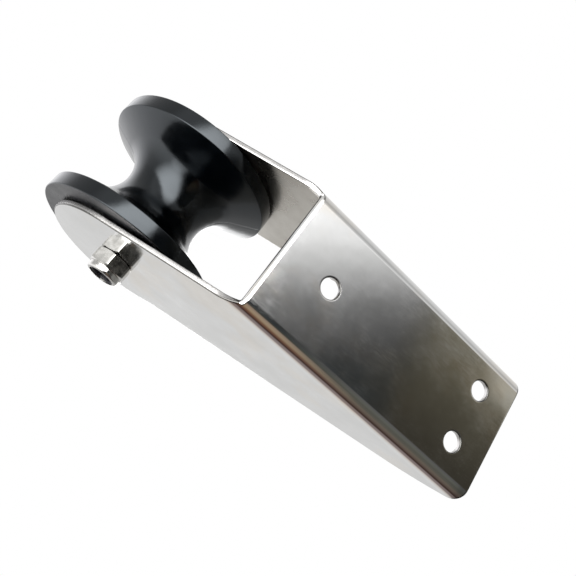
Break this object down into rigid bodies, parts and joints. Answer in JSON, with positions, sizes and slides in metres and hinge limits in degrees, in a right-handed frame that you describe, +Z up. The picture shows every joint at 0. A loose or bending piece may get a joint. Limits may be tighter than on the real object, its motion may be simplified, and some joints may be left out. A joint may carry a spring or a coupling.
{
  "type": "bow roller",
  "caption": "Bow roller: folded steel channel bracket that bolts to a deck and carries a grooved free-turning roller on a cross bolt ahead of it.",
  "frame": {"origin": "centre of the web's outer face, the flat mounting face that lies on the deck", "axes": "+X forward to the roller, +Y to port, +Z up from the deck"},
  "size_m": [0.1703, 0.0643, 0.0828],
  "materials": {
    "polished_steel": "mirror-polished stainless plate, with faint smudges and satin sheared edges",
    "black_nylon": "glossy moulded black nylon with a faint parting line and turned end faces",
    "bolt_steel": "satin cold-formed stainless fastener",
    "sleeve_steel": "turned stainless tube",
    "washer_nylon": "plain natural nylon",
    "insert_nylon": "dark nylon locking ring"
  },
  "bodies": {
    "bracket": {"bracket": "polished_steel", "axle_bolt": "bolt_steel", "axle_sleeve": "sleeve_steel", "thrust_washer_port": "washer_nylon", "thrust_washer_starboard": "washer_nylon", "lock_nut": "bolt_steel", "lock_nut_insert": "insert_nylon"},
    "roller": {"roller": "black_nylon"}
  },
  "joints": [
    {"name": "roller_spin", "type": "hinge", "parent": "bracket", "child": "roller", "pos_m": [0.0855, 0, 0.0495], "axis": [0, 1, 0], "continuous": true}
  ]
}
